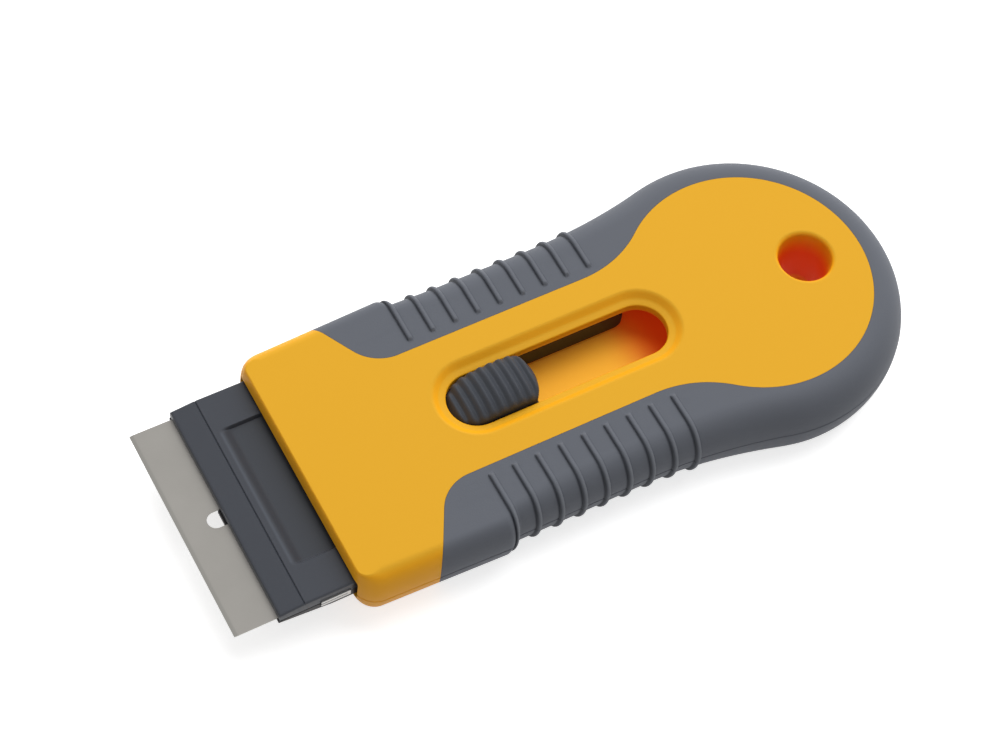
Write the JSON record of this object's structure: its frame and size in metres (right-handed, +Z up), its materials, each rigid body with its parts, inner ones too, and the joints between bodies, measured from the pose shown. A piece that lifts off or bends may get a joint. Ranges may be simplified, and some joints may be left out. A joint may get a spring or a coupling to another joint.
{
  "type": "razor blade scraper",
  "caption": "Flat hand scraper with a two-shell handle, soft side grips, a sliding blade carriage and a sprung thumb button",
  "frame": {"origin": "on the axis of the hanging hole, on the plane of the underside", "axes": "+Z up through the flat top, +X from the blade to the hanging hole's end, +Y to the left of a user who looks along the blade's cut"},
  "size_m": [0.1281, 0.053, 0.0136],
  "materials": {
    "shell_yellow": "fine satin moulded plastic",
    "grip_grey": "soft matt overmould",
    "carrier_black": "smooth moulded plastic",
    "cover_grey": "smooth moulded plastic",
    "blade_steel": "rolled steel with a ground edge",
    "spine_steel": "folded sheet steel",
    "button_grey": "smooth moulded plastic",
    "spring_steel": "drawn spring wire",
    "screw_steel": "bright zinc"
  },
  "bodies": {
    "handle": {"upper_shell": "shell_yellow", "lower_shell": "shell_yellow", "upper_grip": "grip_grey", "lower_grip": "grip_grey", "housing_screw_1": "screw_steel", "housing_screw_2": "screw_steel", "housing_screw_3": "screw_steel", "housing_screw_4": "screw_steel"},
    "carriage": {"blade_carrier": "carrier_black", "carrier_cover": "cover_grey", "blade": "blade_steel", "blade_spine": "spine_steel", "button_spring": "spring_steel"},
    "button": {"thumb_button": "button_grey"}
  },
  "joints": [
    {"name": "carriage_slide", "type": "slide", "parent": "handle", "child": "carriage", "axis": [1, 0, 0], "range_m": [0, 0.0215]},
    {"name": "button_press", "type": "slide", "parent": "carriage", "child": "button", "axis": [0, 0, -1], "range_m": [0, 0.0012], "stiffness_N_per_m": 600, "springref_m": -0.0012, "deforming": ["button_spring"]}
  ]
}
